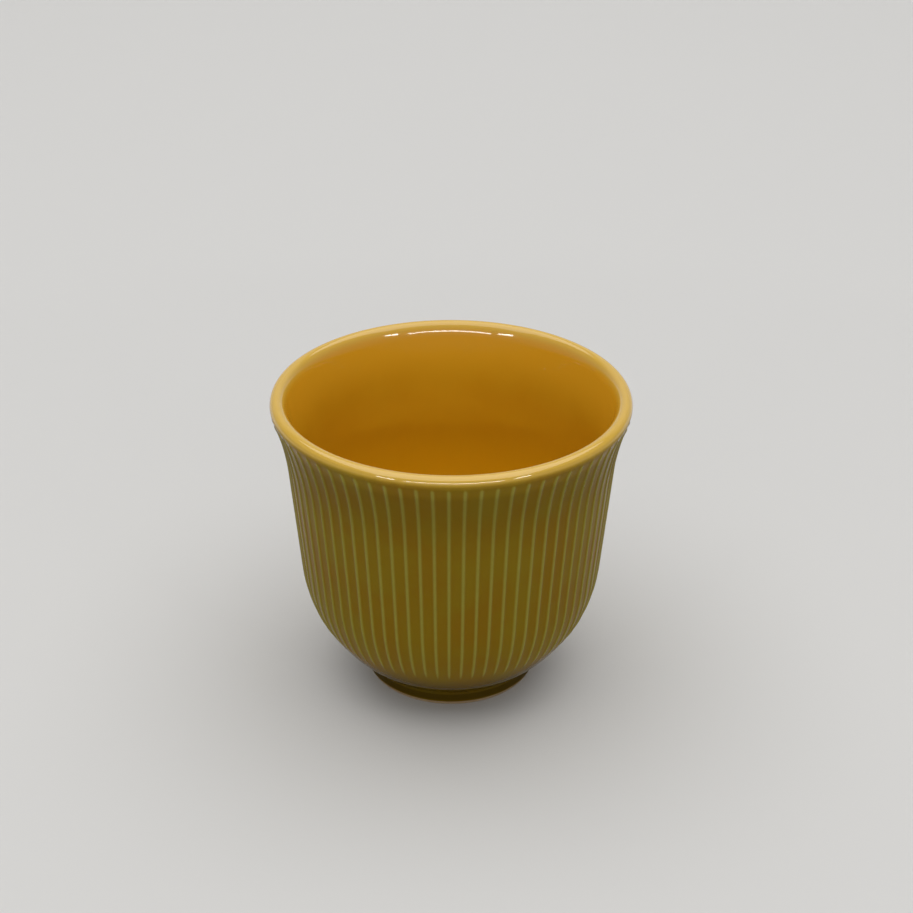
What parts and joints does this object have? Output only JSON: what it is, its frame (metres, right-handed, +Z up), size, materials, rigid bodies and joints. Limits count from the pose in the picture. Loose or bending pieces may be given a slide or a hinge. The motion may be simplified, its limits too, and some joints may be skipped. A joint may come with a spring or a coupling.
{
  "type": "espresso cup",
  "caption": "Handleless ceramic espresso cup with a round bowl, a flared lip, fine raised ribs and a short foot ring, in mustard glaze.",
  "frame": {"origin": "on the cup's axis, at the table under the foot ring", "axes": "+Z up along the axis of the cup; the cup is the same all round, and one rib lies on -Y"},
  "size_m": [0.062, 0.062, 0.0546],
  "materials": {
    "bare_clay": "unglazed fired clay, fine and matt",
    "outside_glaze": "glossy mustard glaze, paler where it thins over the ribs and the lip",
    "inside_glaze": "glossy mustard glaze, deeper where it pools"
  },
  "bodies": {
    "root": {"clay_body": "bare_clay", "outer_glaze": "outside_glaze", "liner_glaze": "inside_glaze", "underside_glaze": "outside_glaze"}
  },
  "joints": []
}
